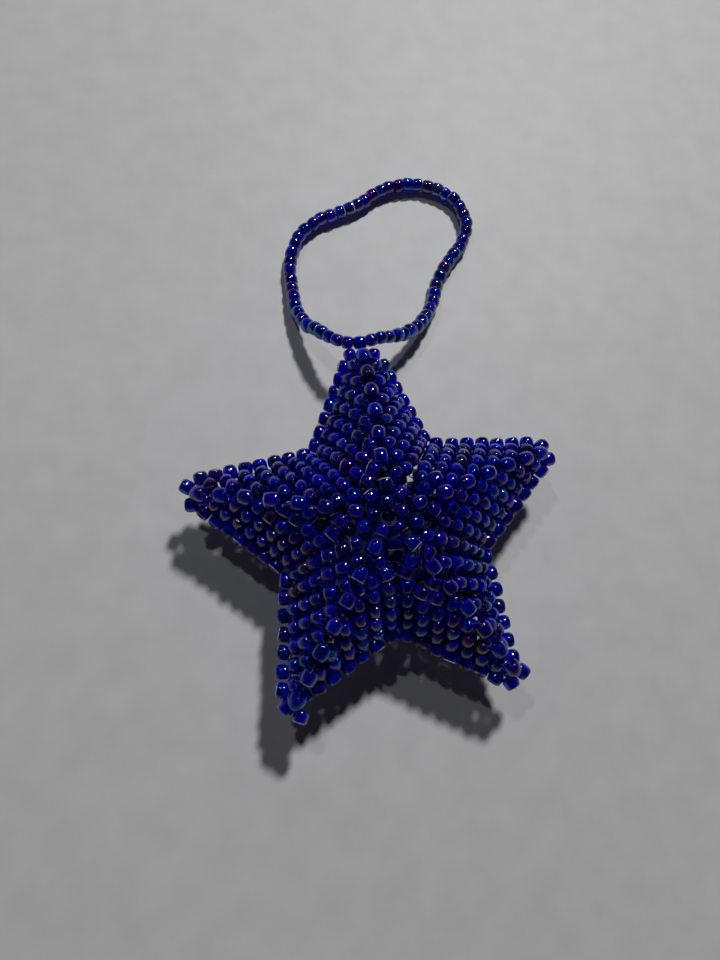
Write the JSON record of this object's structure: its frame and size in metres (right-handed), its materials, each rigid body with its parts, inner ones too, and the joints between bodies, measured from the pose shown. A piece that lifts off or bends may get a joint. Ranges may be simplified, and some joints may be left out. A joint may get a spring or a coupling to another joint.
{
  "type": "christmas ornament",
  "caption": "Puffed five-point star ornament of cobalt-blue iridescent glass seed beads, made of two beadwork faces joined by one edge round, with a swinging beaded hanging loop.",
  "frame": {"origin": "centre of the star, in the middle plane between its two beadwork faces", "axes": "+Z out of the front face, +Y along the arm that carries the hanging loop, X along the hanger bead's hole"},
  "size_m": [0.0541, 0.0867, 0.015],
  "materials": {
    "bead_glass": "transparent cobalt glass with an iridescent coating",
    "thread": "fine waxed beading thread, dark blue"
  },
  "bodies": {
    "star": {"front_centre_ring": "bead_glass", "front_round_02": "bead_glass", "front_round_03": "bead_glass", "front_round_04": "bead_glass", "front_round_05": "bead_glass", "front_round_06": "bead_glass", "front_round_07": "bead_glass", "front_round_08": "bead_glass", "edge_round": "bead_glass", "back_centre_ring": "bead_glass", "back_round_02": "bead_glass", "back_round_03": "bead_glass", "back_round_04": "bead_glass", "back_round_05": "bead_glass", "back_round_06": "bead_glass", "back_round_07": "bead_glass", "back_round_08": "bead_glass", "tip_beads": "bead_glass", "hanger_bead": "bead_glass", "front_thread": "thread", "back_thread": "thread", "seam_thread": "thread"},
    "hanging_loop": {"hanging_loop_beads": "bead_glass", "hanging_loop_thread": "thread"}
  },
  "joints": [
    {"name": "loop_swing", "type": "hinge", "parent": "star", "child": "hanging_loop", "pos_m": [0.00075, 0.02869, 0], "axis": [1, 0, 0], "range_deg": [-95, 150]}
  ]
}
